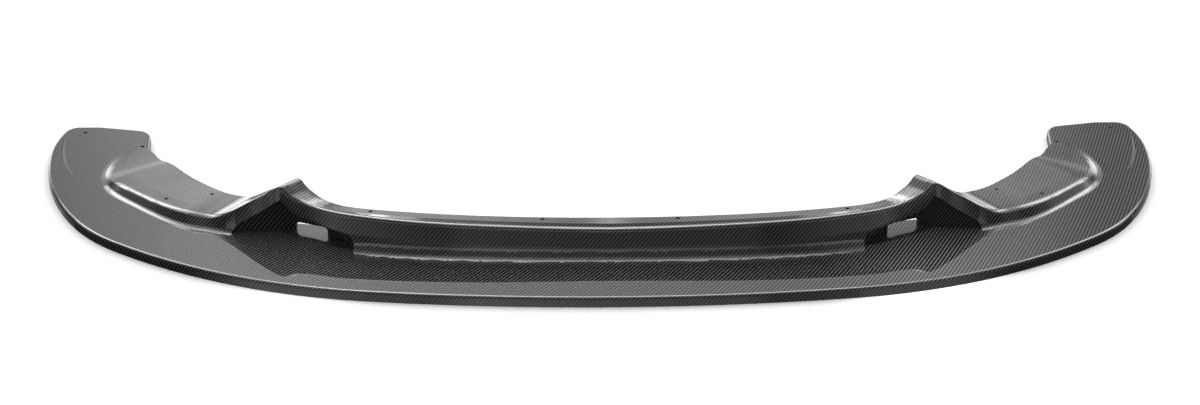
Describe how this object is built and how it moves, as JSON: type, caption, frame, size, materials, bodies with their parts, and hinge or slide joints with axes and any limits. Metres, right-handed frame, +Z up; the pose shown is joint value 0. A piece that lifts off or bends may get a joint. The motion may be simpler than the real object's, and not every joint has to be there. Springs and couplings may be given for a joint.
{
  "type": "front splitter lip",
  "caption": "Wide curved front splitter lip for a car: flat blade with turned-down edge, upright wall, mounting flange, peaked duct hoods and swept wings in one carbon-fibre moulding.",
  "frame": {"origin": "centre of the whole lip in plan, on the ground under its lower edge", "axes": "+X across the car to the right end as the picture shows it, +Y back towards the car, +Z up"},
  "size_m": [1.796, 0.5458, 0.1001],
  "materials": {
    "carbon_laminate": "black twill carbon-fibre weave under a glossy clear coat"
  },
  "bodies": {
    "root": {"splitter_lip": "carbon_laminate"}
  },
  "joints": []
}
